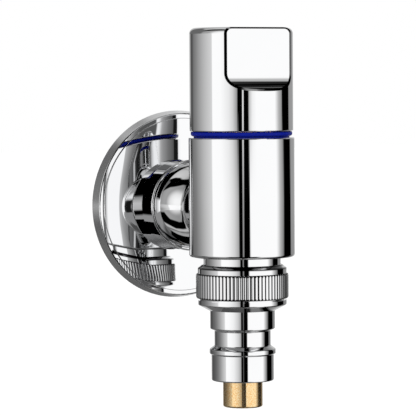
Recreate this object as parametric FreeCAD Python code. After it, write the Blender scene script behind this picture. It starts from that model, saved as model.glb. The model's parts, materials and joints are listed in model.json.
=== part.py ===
import FreeCAD, Part

import math
import os

os.makedirs("parts", exist_ok=True)
Vector = FreeCAD.Vector

# Washing machine valve for a wall connection, in millimetres.
# The origin is the centre of the rosette's back face, on the axis of the inlet thread.
# +Z is up and +Y points into the wall, so the wall face is y = 0 and the valve stands at negative y.
# Heights are measured from the inlet axis. Turned pieces are made about Z and then moved to their axis.

# Fits and gaps
running_clearance = 0.05
thread_clearance = 0.05
static_clearance = 0.03
seat_gap = 0.05
turning_gap = 0.2
pick_tolerance = 0.01

# Barrel, the upright body
body_reach = 50.0
barrel_radius = 18.1
barrel_above = 24.7
barrel_below = 16.1
barrel_bottom_round = 1.0
barrel_top_round = 0.4

# Neck, from the rosette to the barrel
collar_radius = 16.2
collar_length = 8.2
collar_round = 0.6
ball_step = 0.9
waist_radius = 10.2
waist_blend = 2.5
neck_blend = 1.5

# Inlet thread G1/2, hidden in the wall
inlet_thread_radius = 10.48
inlet_thread_length = 14.0
inlet_bore_radius = 7.0
thread_relief = 0.7
thread_chamfer = 1.0

# Rosette
rosette_radius = 33.5
rosette_depth = 4.4
rosette_taper = 1.0
rosette_wall = 1.0
rosette_step_width = 1.6
rosette_step_height = 0.45
rosette_round = 0.5
rosette_hole_clearance = 0.4
wall_seal_width = 3.6
wall_seal_thickness = 3.0

# Outlet spigot, thread G3/4
spigot_radius = 13.22
spigot_length = 11.4
outlet_bore_radius = 9.25
outlet_web = 2.5
outlet_port_radius = 6.0

# Headwork, the ceramic cartridge that screws into the barrel
headwork_thread_radius = 10.45
headwork_thread_length = 12.4
headwork_skirt_step = 1.15
headwork_skirt_wall = 0.9
seat_height = -8.5
seal_thickness = 2.3
seal_width = 1.3
skirt_above_seat = 1.0
disc_thickness = 2.6
disc_key_width = 3.0
disc_key_depth = 0.6
moving_disc_margin = 0.5
disc_port_radius = 2.5
disc_port_offset = 4.3
window_width = 8.0
window_height = 5.5
window_base = 1.5
headwork_collar_height = 1.2
hex_across_flats = 22.0
hex_height = 2.8
headwork_neck_wall = 2.0
headwork_neck_length = 3.6
o_ring_pocket_width = 1.75
o_ring_pocket_depth = 1.9

# Spindle
spindle_radius = 4.5
spindle_collar_lip = 1.7
spindle_collar_height = 1.5
spindle_collar_base = 7.5
driver_width = 3.6
driver_height = 3.0
driver_tongue_depth = 1.2
driver_tongue_width = 2.6
driver_tongue_length = 12.0
spindle_groove_depth = 1.1
spindle_groove_height = 1.7
spindle_groove_pitch = 4.5
spindle_groove_base = 4.0
spline_teeth = 20
spline_step = 0.5
spline_tooth_depth = 0.4
spline_length = 11.0
spline_start = 2.0
circlip_thickness = 0.8
circlip_width = 1.8
circlip_groove_depth = 0.6
circlip_opening = 3.2

# Indicator ring
ring_setback = 0.35
ring_foot_setback = 0.95
ring_foot_height = 0.5
ring_height = 1.5
ring_wall = 2.4
ring_inner_gap = 0.3
ring_lower_round = 0.7
ring_upper_round = 0.25

# Handle
handle_radius = 17.7
handle_skirt_height = 14.15
handle_top_round = 2.1
handle_bottom_round = 0.35
handle_wall = 2.6
handle_cavity_height = 8.0
grip_flat_offset = 12.6
grip_length = 15.45
grip_scoop_radius = 5.6
grip_edge_chamfer = 0.56
adapter_wall = 2.85
adapter_roof = 1.4
adapter_overlap = 1.0
screw_radius = 2.0
screw_recess = 1.1
screw_above_cavity = 3.0
screw_socket_radius = 1.1
screw_socket_depth = 3.0

# Union nut
nut_wall = 1.95
nut_height = 15.6
nut_top_chamfer = 1.5
nut_top_chamfer_height = 1.2
nut_upper_rim = 1.85
nut_lower_rim = 1.6
nut_groove_height = 0.6
nut_groove_depth = 0.7
nut_cone_height = 1.9
nut_cone_land = 0.5
nut_shoulder = 2.55
knurl_count = 72
knurl_rib_height = 0.65
knurl_rib_radius = 0.62

# Hose nipple
gasket_thickness = 2.0
gasket_lip = 0.2
nipple_flange_margin = 0.32
nipple_flange_thickness = 2.2
nipple_wall = 1.5
nipple_collar_step = 1.5
nipple_collar_length = 8.95
nipple_groove_length = 6.45
nipple_rib_step = 1.7
nipple_rib_length = 2.35
nipple_end_step = 1.05
nipple_end_length = 9.05
nipple_slope = 0.6
nipple_round = 0.45
nipple_seat_above_end = 11.3
nipple_seat_width = 1.3
retainer_lip = 1.0
retainer_thickness = 1.2
retainer_recess = 2.9
retainer_port_radius = 1.9
retainer_port_offset = 5.0
retainer_port_count = 4
clip_thickness = 0.8
clip_width = 1.3
clip_groove_depth = 0.5
clip_opening = 4.0

# Stop plunger
plunger_radius = 6.8
plunger_wall = 1.95
plunger_reach = 9.1
plunger_end_round = 0.6
plunger_head_gap = 0.3
plunger_head_height = 2.1
plunger_boss_setback = 2.2
plunger_boss_height = 1.2
plunger_seal_thickness = 0.85
plunger_window_width = 4.4
plunger_window_height = 3.6
plunger_window_count = 3
plunger_spring_gap = 0.5
plunger_spring_wire = 0.45
plunger_spring_turns = 5

# Check valve
check_headroom = 1.0
check_wall = 1.4
check_recess = 0.5
check_seat_radius = 5.5
check_seat_thickness = 1.5
check_hub_radius = 2.6
check_arm_width = 1.8
check_arm_count = 3
check_arm_height = 1.5
check_groove_depth = 0.9
check_groove_height = 1.3
check_groove_inset = 0.8
poppet_overlap = 1.1
poppet_thickness = 2.0
poppet_stem_radius = 1.5
poppet_seal_thickness = 0.8
poppet_seal_width = 2.0
check_spring_gap = 1.4
check_spring_wire = 0.3
check_spring_turns = 6

# Radii that follow from the sizes above
headwork_skirt_radius = headwork_thread_radius - headwork_skirt_step
skirt_bore = headwork_skirt_radius - headwork_skirt_wall
disc_radius = skirt_bore - static_clearance
moving_disc_radius = skirt_bore - moving_disc_margin
o_ring_pocket_radius = headwork_thread_radius + o_ring_pocket_width
headwork_neck_radius = spindle_radius + headwork_neck_wall
spindle_collar_radius = spindle_radius + spindle_collar_lip
spline_radius = spindle_radius - spline_step
adapter_radius = spline_radius + adapter_wall
screw_length = handle_radius - screw_recess - adapter_radius - seat_gap
ring_radius = handle_radius - ring_setback
ring_foot_radius = ring_radius - ring_foot_setback
ring_inner_radius = ring_radius - ring_wall
headwork_collar_radius = ring_inner_radius - ring_inner_gap
nut_bore = spigot_radius + thread_clearance
nut_radius = nut_bore + nut_wall
nipple_flange_radius = spigot_radius - nipple_flange_margin
nipple_guide_radius = plunger_radius + running_clearance
nipple_bore_radius = nipple_guide_radius + nipple_seat_width
nipple_groove_radius = nipple_bore_radius + nipple_wall
nipple_collar_radius = nipple_groove_radius + nipple_collar_step
nipple_rib_radius = nipple_groove_radius + nipple_rib_step
nipple_end_radius = nipple_groove_radius + nipple_end_step
gasket_inner_radius = nipple_bore_radius + gasket_lip
retainer_radius = nipple_bore_radius + retainer_lip
plunger_bore_radius = plunger_radius - plunger_wall
plunger_head_radius = nipple_bore_radius - plunger_head_gap
plunger_boss_radius = plunger_head_radius - plunger_boss_setback
plunger_spring_radius = plunger_boss_radius + plunger_spring_gap + plunger_spring_wire
check_outer_radius = outlet_bore_radius - static_clearance
check_inner_radius = check_outer_radius - check_wall
poppet_radius = check_seat_radius + poppet_overlap
check_spring_radius = poppet_stem_radius + check_spring_gap + check_spring_wire

# Levels, from the inlet axis
barrel_top = barrel_above
barrel_bottom = -barrel_below
spigot_end = barrel_bottom - spigot_length
gasket_top = spigot_end - seat_gap
flange_top = gasket_top - gasket_thickness
flange_bottom = flange_top - nipple_flange_thickness
nut_seat = flange_bottom - seat_gap
nut_bottom = nut_seat - nut_shoulder
nut_top = nut_bottom + nut_height
nipple_end = (
    flange_bottom
    - nipple_collar_length
    - nipple_groove_length
    - nipple_rib_length
    - nipple_end_length
)
plunger_seat = nipple_end + nipple_seat_above_end
plunger_seal_bottom = plunger_seat + seat_gap
plunger_head_bottom = plunger_seal_bottom + plunger_seal_thickness
plunger_head_top = plunger_head_bottom + plunger_head_height
plunger_end = nipple_end - plunger_reach
retainer_bottom = flange_top - retainer_recess
retainer_top = retainer_bottom + retainer_thickness
ring_bottom = barrel_top
ring_top = ring_bottom + ring_foot_height + ring_height
handle_bottom = ring_top + turning_gap
handle_top = handle_bottom + handle_skirt_height + grip_scoop_radius + grip_length
scoop_top = handle_top - grip_length
cavity_top = handle_bottom + handle_cavity_height
screw_level = cavity_top + screw_above_cavity
hex_bottom = barrel_top + headwork_collar_height
hex_top = hex_bottom + hex_height
headwork_top = hex_top + headwork_neck_length
skirt_bottom = seat_height + skirt_above_seat
thread_bottom = barrel_top - headwork_thread_length
seal_top = seat_height + seal_thickness
fixed_disc_top = seal_top + disc_thickness
moving_disc_bottom = fixed_disc_top + seat_gap
moving_disc_top = moving_disc_bottom + disc_thickness
driver_bottom = moving_disc_top + seat_gap
spindle_collar_top = spindle_collar_base + spindle_collar_height
circlip_bottom = headwork_top + seat_gap
spline_bottom = circlip_bottom + circlip_thickness + spline_start
spindle_top = spline_bottom + spline_length
adapter_bottom = spline_bottom - adapter_overlap
adapter_top = spindle_top + adapter_roof
outlet_roof = seat_height - outlet_web
check_bottom = spigot_end + check_recess
check_top = outlet_roof - check_headroom
check_seat = check_top - check_seat_thickness
check_arm_top = check_bottom + check_arm_height
poppet_seal_top = check_seat - seat_gap
poppet_top = poppet_seal_top - poppet_seal_thickness
poppet_bottom = poppet_top - poppet_thickness

axis_place = Vector(0, -body_reach, 0)


def corner_arc(before, corner, after, radius):
    """Tangent points and middle of the arc that rounds one corner of an outline."""
    back = (before - corner).normalize()
    ahead = (after - corner).normalize()
    half_angle = back.getAngle(ahead) / 2
    setback = radius / math.tan(half_angle)
    bisector = (back + ahead).normalize()
    centre = corner + bisector * (radius / math.sin(half_angle))
    return corner + back * setback, centre - bisector * radius, corner + ahead * setback


def outline(corners):
    """Closed face from corners (x, z) or (x, z, radius of the rounding) in the XZ plane."""
    points = [Vector(corner[0], 0, corner[1]) for corner in corners]
    count = len(points)
    stops = []
    edges = []
    for index, corner in enumerate(corners):
        if len(corner) > 2:
            following = points[(index + 1) % count]
            first, middle, last = corner_arc(points[index - 1], points[index], following, corner[2])
            edges.append(Part.Arc(first, middle, last).toShape())
            stops.append((first, last))
        else:
            stops.append((points[index], points[index]))
    for index in range(count):
        start = stops[index - 1][1]
        end = stops[index][0]
        if start.distanceToPoint(end) > 1e-6:
            edges.append(Part.LineSegment(start, end).toShape())
    return Part.Face(Part.Wire(Part.__sortEdges__(edges)))


def turned(corners):
    """Solid turned about Z from an outline given as (radius, height)."""
    return outline(corners).revolve(Vector(0, 0, 0), Vector(0, 0, 1), 360)


def cylinder(radius, bottom, top):
    return Part.makeCylinder(radius, top - bottom, Vector(0, 0, bottom))


def tube(outer_radius, inner_radius, bottom, top):
    return cylinder(outer_radius, bottom, top).cut(cylinder(inner_radius, bottom - 1, top + 1))


def block(width, depth, bottom, top, x=0.0, y=0.0):
    """Upright block centred on x and y."""
    return Part.makeBox(width, depth, top - bottom, Vector(x - width / 2, y - depth / 2, bottom))


def o_ring(inner_radius, outer_radius, height):
    """Round cord that just fills the space between two radii."""
    cord_radius = (outer_radius - inner_radius) / 2 - static_clearance / 2
    return Part.makeTorus((inner_radius + outer_radius) / 2, cord_radius, Vector(0, 0, height))


def around(shape, count, offset_degrees=0.0):
    """Copies of a shape spaced evenly about Z."""
    copies = []
    for index in range(count):
        copy = shape.copy()
        copy.rotate(Vector(0, 0, 0), Vector(0, 0, 1), offset_degrees + 360.0 * index / count)
        copies.append(copy)
    return copies


def coil_spring(mean_radius, wire_radius, bottom, top, turns):
    """Round wire coil between two heights: tilted half circles that run into each other."""
    half_turns = 2 * turns
    rise = (top - bottom - 2 * wire_radius) / half_turns
    bow = math.hypot(mean_radius, rise / 2)
    foot = Vector(mean_radius, 0, bottom + wire_radius)
    arcs = []
    for index in range(half_turns):
        side = 1 if index % 2 == 0 else -1
        start = foot.z + index * rise
        first = Vector(side * mean_radius, 0, start)
        middle = Vector(0, side * bow, start + rise / 2)
        last = Vector(-side * mean_radius, 0, start + rise)
        arcs.append(Part.Arc(first, middle, last).toShape())
    section = Part.Circle(foot, Vector(0, 1, 0), wire_radius)
    return Part.Wire(arcs).makePipeShell([Part.Wire(section.toShape())], True, False)


def clip_ring(outer_radius, inner_radius, bottom, top, opening):
    """Flat retaining ring with a gap."""
    gap = block(opening, outer_radius, bottom - 1, top + 1, 0, outer_radius)
    return tube(outer_radius, inner_radius, bottom, top).cut(gap)


def hexagon_prism(across_flats, bottom, top):
    """Hexagon with the chamfered corners of a spanner face."""
    corner_radius = across_flats / math.sqrt(3)
    points = []
    for index in range(7):
        angle = math.radians(60 * index)
        points.append(Vector(corner_radius * math.cos(angle), corner_radius * math.sin(angle), bottom))
    prism = Part.Face(Part.makePolygon(points)).extrude(Vector(0, 0, top - bottom))
    chamfer = corner_radius - across_flats / 2
    limit = turned([
        (0, bottom),
        (corner_radius, bottom),
        (corner_radius, top - chamfer / 2),
        (corner_radius - chamfer, top),
        (0, top),
    ])
    return prism.common(limit)


def at_axis(shape):
    """Moves a turned piece from Z to the upright axis of the valve."""
    moved = shape.copy()
    moved.translate(axis_place)
    return moved


def on_inlet(shape):
    """Lays a piece turned about Z along the inlet axis, its heights reaching out from the wall."""
    laid = shape.copy()
    laid.rotate(Vector(0, 0, 0), Vector(1, 0, 0), 90)
    return laid


def neck_ball(collar_end):
    """Ball shaped shoulder of the neck that blends into a waist in front of the barrel."""
    ball_radius = collar_radius - ball_step
    blend_radius = waist_radius + waist_blend
    reach = math.sqrt((ball_radius + waist_blend) ** 2 - blend_radius ** 2)
    waist_start = collar_end + reach
    share = ball_radius / (ball_radius + waist_blend)
    touch = Vector(blend_radius * share, 0, collar_end + reach * share)
    half_turn = math.atan2(reach, blend_radius) / 2
    ball_middle = Vector(ball_radius * math.cos(half_turn), 0, collar_end + ball_radius * math.sin(half_turn))
    blend_middle = Vector(
        blend_radius - waist_blend * math.cos(half_turn), 0, waist_start - waist_blend * math.sin(half_turn)
    )
    sides = [
        Part.LineSegment(Vector(0, 0, rosette_depth), Vector(ball_radius, 0, rosette_depth)),
        Part.LineSegment(Vector(ball_radius, 0, rosette_depth), Vector(ball_radius, 0, collar_end)),
        Part.Arc(Vector(ball_radius, 0, collar_end), ball_middle, touch),
        Part.Arc(touch, blend_middle, Vector(waist_radius, 0, waist_start)),
        Part.LineSegment(Vector(waist_radius, 0, waist_start), Vector(waist_radius, 0, body_reach)),
        Part.LineSegment(Vector(waist_radius, 0, body_reach), Vector(0, 0, body_reach)),
        Part.LineSegment(Vector(0, 0, body_reach), Vector(0, 0, rosette_depth)),
    ]
    face = Part.Face(Part.Wire([side.toShape() for side in sides]))
    return face.revolve(Vector(0, 0, 0), Vector(0, 0, 1), 360)


def blend_neck(shank):
    """Fillets the seam where the neck's waist runs into the barrel."""
    seam = []
    for edge in shank.Edges:
        points = edge.discretize(9)
        from_axis = [math.hypot(point.x, point.y + body_reach) for point in points]
        from_inlet = [math.hypot(point.x, point.z) for point in points]
        on_barrel = all(abs(radius - barrel_radius) < pick_tolerance for radius in from_axis)
        on_waist = all(abs(radius - waist_radius) < pick_tolerance for radius in from_inlet)
        if on_barrel and on_waist:
            seam.append(edge)
    return shank.makeFillet(neck_blend, seam)


def body_outside():
    """Barrel, neck, inlet stub and outlet spigot as one casting, still without its waterways."""
    collar_end = rosette_depth + collar_length
    barrel = turned([
        (0, barrel_bottom),
        (barrel_radius, barrel_bottom, barrel_bottom_round),
        (barrel_radius, barrel_top, barrel_top_round),
        (0, barrel_top),
    ])
    shank = at_axis(barrel).fuse(on_inlet(neck_ball(collar_end))).removeSplitter()
    collar = turned([
        (0, rosette_depth),
        (collar_radius, rosette_depth),
        (collar_radius, collar_end, collar_round),
        (0, collar_end),
    ])
    stub = turned([
        (0, -inlet_thread_length),
        (inlet_thread_radius - thread_chamfer, -inlet_thread_length),
        (inlet_thread_radius, thread_chamfer - inlet_thread_length),
        (inlet_thread_radius, 0),
        (inlet_thread_radius - thread_relief, thread_relief),
        (inlet_thread_radius - thread_relief, collar_end / 2),
        (0, collar_end / 2),
    ])
    spigot = turned([
        (0, spigot_end),
        (spigot_radius - thread_chamfer, spigot_end),
        (spigot_radius, spigot_end + thread_chamfer),
        (spigot_radius, 0),
        (0, 0),
    ])
    return blend_neck(shank).fuse([on_inlet(collar), on_inlet(stub), at_axis(spigot)]).removeSplitter()


def body_casting():
    chamber_radius = headwork_thread_radius + static_clearance
    waterways = [
        at_axis(cylinder(chamber_radius, seat_height, barrel_top + 1)),
        at_axis(cylinder(o_ring_pocket_radius, barrel_top - o_ring_pocket_depth, barrel_top + 1)),
        at_axis(cylinder(outlet_port_radius, outlet_roof - 1, seat_height + 1)),
        at_axis(cylinder(outlet_bore_radius, spigot_end - 1, outlet_roof)),
        on_inlet(cylinder(inlet_bore_radius, -inlet_thread_length - 1, body_reach - chamber_radius / 2)),
    ]
    return body_outside().cut(waterways)


def wall_rosette():
    """Spun shell with a tapered rim, a narrow step and a flat mirror face."""
    step = rosette_depth - rosette_step_height
    rim_front = rosette_radius - rosette_taper
    face_radius = rim_front - rosette_step_width
    hole_radius = inlet_thread_radius + rosette_hole_clearance
    return on_inlet(turned([
        (hole_radius, rosette_depth),
        (face_radius, rosette_depth, rosette_round / 2),
        (face_radius, step),
        (rim_front, step, rosette_round),
        (rosette_radius, 0),
        (rosette_radius - rosette_wall, 0),
        (rim_front - rosette_wall, step - rosette_wall),
        (face_radius - rosette_wall, step - rosette_wall),
        (face_radius - rosette_wall, rosette_depth - rosette_wall),
        (hole_radius, rosette_depth - rosette_wall),
    ]))


def wall_seal():
    inner_radius = inlet_thread_radius + static_clearance
    top = rosette_depth - rosette_wall
    return on_inlet(tube(inner_radius + wall_seal_width, inner_radius, top - wall_seal_thickness, top))


def disc_ports(bottom, top, offset_degrees):
    """The two round ports that both ceramic discs have."""
    port = Part.makeCylinder(disc_port_radius, top - bottom + 2, Vector(disc_port_offset, 0, bottom - 1))
    return around(port, 2, offset_degrees)


def disc_keys(radius, bottom, top, clearance):
    """Bar whose two ends key the fixed disc to the headwork's skirt."""
    reach = radius + disc_key_depth + clearance
    bar = block(2 * reach, disc_key_width + 2 * clearance, bottom, top)
    return bar.common(cylinder(reach, bottom, top))


def headwork_body():
    """Cartridge body: skirt for the discs, windows, thread, collar, hexagon and stem neck."""
    chamber_top = spindle_collar_top + seat_gap
    chamber_bottom = spindle_collar_base - spindle_collar_height
    stem_bore = spindle_radius + running_clearance
    collar_bore = spindle_collar_radius + running_clearance
    pocket_floor = barrel_top - o_ring_pocket_depth
    body = turned([
        (skirt_bore, skirt_bottom),
        (headwork_skirt_radius, skirt_bottom),
        (headwork_skirt_radius, thread_bottom),
        (headwork_thread_radius, thread_bottom + thread_chamfer),
        (headwork_thread_radius, pocket_floor),
        (headwork_thread_radius, barrel_top),
        (headwork_collar_radius, barrel_top),
        (headwork_collar_radius, hex_bottom),
        (headwork_neck_radius, hex_bottom),
        (headwork_neck_radius, headwork_top, thread_chamfer / 2),
        (stem_bore, headwork_top),
        (stem_bore, chamber_top),
        (collar_bore, chamber_top),
        (collar_bore, chamber_bottom),
        (skirt_bore, chamber_bottom),
    ])
    hexagon = hexagon_prism(hex_across_flats, hex_bottom, hex_top)
    hexagon = hexagon.cut(cylinder(stem_bore + running_clearance, hex_bottom - 1, hex_top + 1))
    window = block(4 * headwork_skirt_radius, window_width, window_base, window_base + window_height)
    key_slots = disc_keys(skirt_bore, skirt_bottom - 1, fixed_disc_top, running_clearance)
    return body.cut([window, key_slots]).fuse(hexagon).removeSplitter()


def headwork_o_ring():
    return o_ring(headwork_thread_radius, o_ring_pocket_radius, barrel_top - o_ring_pocket_depth / 2)


def seat_seal():
    return tube(disc_radius, disc_radius - seal_width, seat_height, seal_top)


def fixed_disc():
    disc = cylinder(disc_radius, seal_top, fixed_disc_top)
    keys = disc_keys(disc_radius, seal_top, fixed_disc_top, 0)
    return disc.fuse(keys).removeSplitter().cut(disc_ports(seal_top, fixed_disc_top, 0))


def moving_disc():
    """Upper disc, its ports a quarter turn from the lower ones while the valve is shut."""
    disc = cylinder(moving_disc_radius, moving_disc_bottom, moving_disc_top)
    slot_bottom = moving_disc_top - driver_tongue_depth - seat_gap
    slot = block(
        driver_tongue_length + 2 * static_clearance,
        driver_tongue_width + 2 * static_clearance,
        slot_bottom,
        moving_disc_top + 1,
    )
    return disc.cut(disc_ports(moving_disc_bottom, moving_disc_top, 90) + [slot])


def spindle_outline():
    """Half outline of the turned stem, from its foot to the end of the splines."""
    corners = [
        (0, driver_bottom),
        (spindle_radius - spindle_groove_depth, driver_bottom),
        (spindle_radius - spindle_groove_depth, spindle_collar_base),
        (spindle_collar_radius, spindle_collar_base),
        (spindle_collar_radius, spindle_collar_top),
        (spindle_radius, spindle_collar_top),
    ]
    seal_groove_radius = spindle_radius - spindle_groove_depth
    for index in range(2):
        base = spindle_collar_top + spindle_groove_base + index * spindle_groove_pitch
        corners += [
            (spindle_radius, base),
            (seal_groove_radius, base),
            (seal_groove_radius, base + spindle_groove_height),
            (spindle_radius, base + spindle_groove_height),
        ]
    clip_groove_radius = spindle_radius - circlip_groove_depth
    clip_top = circlip_bottom + circlip_thickness
    corners += [
        (spindle_radius, circlip_bottom),
        (clip_groove_radius, circlip_bottom),
        (clip_groove_radius, clip_top),
        (spline_radius, clip_top),
        (spline_radius, spindle_top, spline_tooth_depth),
        (0, spindle_top),
    ]
    return corners


def spindle():
    """Stem with a driver bar below, a retaining collar, two seal grooves and splines on top."""
    driver_top = driver_bottom + driver_height
    bar = block(2 * moving_disc_radius, driver_width, driver_bottom, driver_top)
    bar = bar.common(cylinder(moving_disc_radius, driver_bottom, driver_top))
    tongue = block(
        driver_tongue_length, driver_tongue_width, driver_bottom - driver_tongue_depth, driver_bottom + 1
    )
    gap_radius = 0.5 * math.pi * (spline_radius - spline_tooth_depth / 2) / spline_teeth
    tooth_gap = Part.makeCylinder(
        gap_radius,
        spline_length + 1,
        Vector(spline_radius + gap_radius - spline_tooth_depth, 0, spline_bottom),
    )
    stem = turned(spindle_outline()).fuse([bar, tongue]).removeSplitter()
    return stem.cut(around(tooth_gap, spline_teeth))


def spindle_o_ring(index):
    base = spindle_collar_top + spindle_groove_base + index * spindle_groove_pitch
    return o_ring(
        spindle_radius - spindle_groove_depth,
        spindle_radius + running_clearance,
        base + spindle_groove_height / 2,
    )


def spindle_circlip():
    inner_radius = spindle_radius - circlip_groove_depth + static_clearance
    return clip_ring(
        inner_radius + circlip_width,
        inner_radius,
        circlip_bottom,
        circlip_bottom + circlip_thickness,
        circlip_opening,
    )


def indicator_ring():
    shoulder = ring_bottom + ring_foot_height
    return turned([
        (ring_inner_radius, ring_bottom),
        (ring_foot_radius, ring_bottom),
        (ring_foot_radius, shoulder),
        (ring_radius, shoulder, ring_lower_round),
        (ring_radius, ring_top, ring_upper_round),
        (ring_inner_radius, ring_top),
    ])


def grip_cutter():
    """One side of the grip: an upright flat that runs out below in a concave scoop."""
    above = handle_top + 1
    beyond = 2 * handle_radius
    scoop_low = scoop_top - grip_scoop_radius
    centre_y = grip_flat_offset + grip_scoop_radius
    diagonal = grip_scoop_radius * math.sqrt(0.5)
    flat_high = Vector(0, grip_flat_offset, above)
    flat_low = Vector(0, grip_flat_offset, scoop_top)
    scoop_middle = Vector(0, centre_y - diagonal, scoop_top - diagonal)
    scoop_end = Vector(0, centre_y, scoop_low)
    outer_low = Vector(0, beyond, scoop_low)
    outer_high = Vector(0, beyond, above)
    sides = [
        Part.LineSegment(flat_high, flat_low),
        Part.Arc(flat_low, scoop_middle, scoop_end),
        Part.LineSegment(scoop_end, outer_low),
        Part.LineSegment(outer_low, outer_high),
        Part.LineSegment(outer_high, flat_high),
    ]
    cutter = Part.Face(Part.Wire([side.toShape() for side in sides])).extrude(Vector(2 * beyond, 0, 0))
    cutter.translate(Vector(-beyond, 0, 0))
    return cutter


def grip_rim(column):
    """Upright edges of the flats, from which a chamfer runs on around each whole grip."""
    rim = []
    for edge in column.Edges:
        box = edge.BoundBox
        upright = math.hypot(box.XLength, box.YLength) < pick_tolerance
        beside_flat = abs(abs(box.Center.y) - grip_flat_offset) < pick_tolerance
        if upright and beside_flat:
            rim.append(edge)
    return rim


def handle_outside():
    """Cylinder with a flat grip on the front and the back, each inside one chamfered rim."""
    column = turned([
        (0, handle_bottom),
        (handle_radius, handle_bottom, handle_bottom_round),
        (handle_radius, handle_top, handle_top_round),
        (0, handle_top),
    ])
    column = column.cut(around(grip_cutter(), 2))
    return column.makeChamfer(grip_edge_chamfer, grip_rim(column))


def screw_rod(radius, length):
    """Rod that points from the adapter's side out of the back of the handle."""
    return Part.makeCylinder(
        radius, length, Vector(0, adapter_radius + seat_gap, screw_level), Vector(0, 1, 0)
    )


def handle():
    socket_radius = adapter_radius + static_clearance
    hollows = [
        cylinder(handle_radius - handle_wall, handle_bottom - 1, cavity_top),
        cylinder(socket_radius, handle_bottom, adapter_top + static_clearance),
        screw_rod(screw_radius + static_clearance, handle_radius),
    ]
    return handle_outside().cut(hollows)


def handle_screw():
    """Grub screw that clamps the adapter, with a hexagon socket at its outer end."""
    socket = hexagon_prism(2 * screw_socket_radius, 0, screw_socket_depth + 1)
    socket.rotate(Vector(0, 0, 0), Vector(1, 0, 0), -90)
    socket_start = adapter_radius + seat_gap + screw_length - screw_socket_depth
    socket.translate(Vector(0, socket_start, screw_level))
    return screw_rod(screw_radius, screw_length).cut(socket)


def spline_adapter():
    bore = cylinder(spline_radius + static_clearance, adapter_bottom - 1, spindle_top + static_clearance)
    return cylinder(adapter_radius, adapter_bottom, adapter_top).cut(bore)


def knurl_rib(bottom, top):
    """One rounded rib of the nut's grip, with round ends."""
    centre = nut_radius + knurl_rib_height - knurl_rib_radius
    low = Vector(centre, 0, bottom + knurl_rib_radius)
    high = Vector(centre, 0, top - knurl_rib_radius)
    rod = Part.makeCylinder(knurl_rib_radius, high.z - low.z, low)
    balls = [Part.makeSphere(knurl_rib_radius, low), Part.makeSphere(knurl_rib_radius, high)]
    return rod.fuse(balls).removeSplitter()


def union_nut():
    """Nut with a chamfered mouth, a knurled band between two rims and a cone below."""
    cone_top = nut_bottom + nut_cone_height
    groove_bottom = cone_top + nut_lower_rim
    groove_top = groove_bottom + nut_groove_height
    chamfer_bottom = nut_top - nut_top_chamfer_height
    shoulder_bore = nipple_collar_radius + running_clearance
    shell = turned([
        (shoulder_bore, nut_bottom),
        (shoulder_bore + nut_cone_land, nut_bottom),
        (nut_radius, cone_top, nipple_round),
        (nut_radius, groove_bottom),
        (nut_radius - nut_groove_depth, groove_bottom),
        (nut_radius - nut_groove_depth, groove_top),
        (nut_radius, groove_top),
        (nut_radius, chamfer_bottom),
        (nut_radius - nut_top_chamfer, nut_top),
        (nut_bore, nut_top),
        (nut_bore, nut_seat),
        (shoulder_bore, nut_seat),
    ])
    return shell.fuse(around(knurl_rib(groove_top, chamfer_bottom - nut_upper_rim), knurl_count))


def nipple_gasket():
    return tube(nipple_flange_radius, gasket_inner_radius, flange_top, gasket_top)


def hose_nipple():
    """Stepped plug for a quick-lock coupling, bored for the stop plunger."""
    collar_bottom = flange_bottom - nipple_collar_length
    groove_bottom = collar_bottom - nipple_groove_length
    rib_bottom = groove_bottom - nipple_rib_length
    body = turned([
        (nipple_bore_radius, flange_top),
        (nipple_flange_radius, flange_top),
        (nipple_flange_radius, flange_bottom),
        (nipple_collar_radius, flange_bottom),
        (nipple_collar_radius, collar_bottom, nipple_round),
        (nipple_groove_radius, collar_bottom - nipple_slope, nipple_round),
        (nipple_groove_radius, groove_bottom + nipple_slope, nipple_round),
        (nipple_rib_radius, groove_bottom - nipple_slope, nipple_round),
        (nipple_rib_radius, rib_bottom + nipple_slope / 2, nipple_round / 2),
        (nipple_end_radius, rib_bottom - nipple_slope / 4),
        (nipple_end_radius, nipple_end, nipple_round),
        (nipple_guide_radius, nipple_end),
        (nipple_guide_radius, plunger_seat),
        (nipple_bore_radius, plunger_seat),
    ])
    seat = cylinder(retainer_radius + static_clearance, retainer_bottom, flange_top + 1)
    groove_radius = retainer_radius + clip_groove_depth
    groove = cylinder(groove_radius, retainer_top, retainer_top + clip_thickness + static_clearance)
    return body.cut([seat, groove])


def spring_retainer():
    """Perforated disc that backs the plunger's spring."""
    port = Part.makeCylinder(
        retainer_port_radius, retainer_thickness + 2, Vector(retainer_port_offset, 0, retainer_bottom - 1)
    )
    centre_port = cylinder(retainer_port_radius, retainer_bottom - 1, retainer_top + 1)
    disc = cylinder(retainer_radius, retainer_bottom, retainer_top)
    return disc.cut(around(port, retainer_port_count) + [centre_port])


def retainer_clip():
    outer_radius = retainer_radius + clip_groove_depth - static_clearance
    return clip_ring(
        outer_radius,
        outer_radius - clip_width,
        retainer_top,
        retainer_top + clip_thickness,
        clip_opening,
    )


def plunger_spring():
    return coil_spring(
        plunger_spring_radius,
        plunger_spring_wire,
        plunger_head_top + seat_gap,
        retainer_bottom - seat_gap,
        plunger_spring_turns,
    )


def stop_plunger():
    """Brass tube, shut at the top by its head, with windows that open as it is pushed in."""
    window_top = plunger_seat - seat_gap
    boss_top = plunger_head_top + plunger_boss_height
    body = turned([
        (plunger_bore_radius, plunger_end, plunger_end_round / 2),
        (plunger_radius, plunger_end, plunger_end_round),
        (plunger_radius, plunger_head_bottom),
        (plunger_head_radius, plunger_head_bottom),
        (plunger_head_radius, plunger_head_top, plunger_end_round / 2),
        (plunger_boss_radius, plunger_head_top),
        (plunger_boss_radius, boss_top, plunger_end_round),
        (0, boss_top),
        (0, plunger_head_bottom),
        (plunger_bore_radius, plunger_head_bottom),
    ])
    window = block(
        2 * plunger_radius,
        plunger_window_width,
        window_top - plunger_window_height,
        window_top,
        plunger_radius,
    )
    return body.cut(around(window, plunger_window_count))


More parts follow.
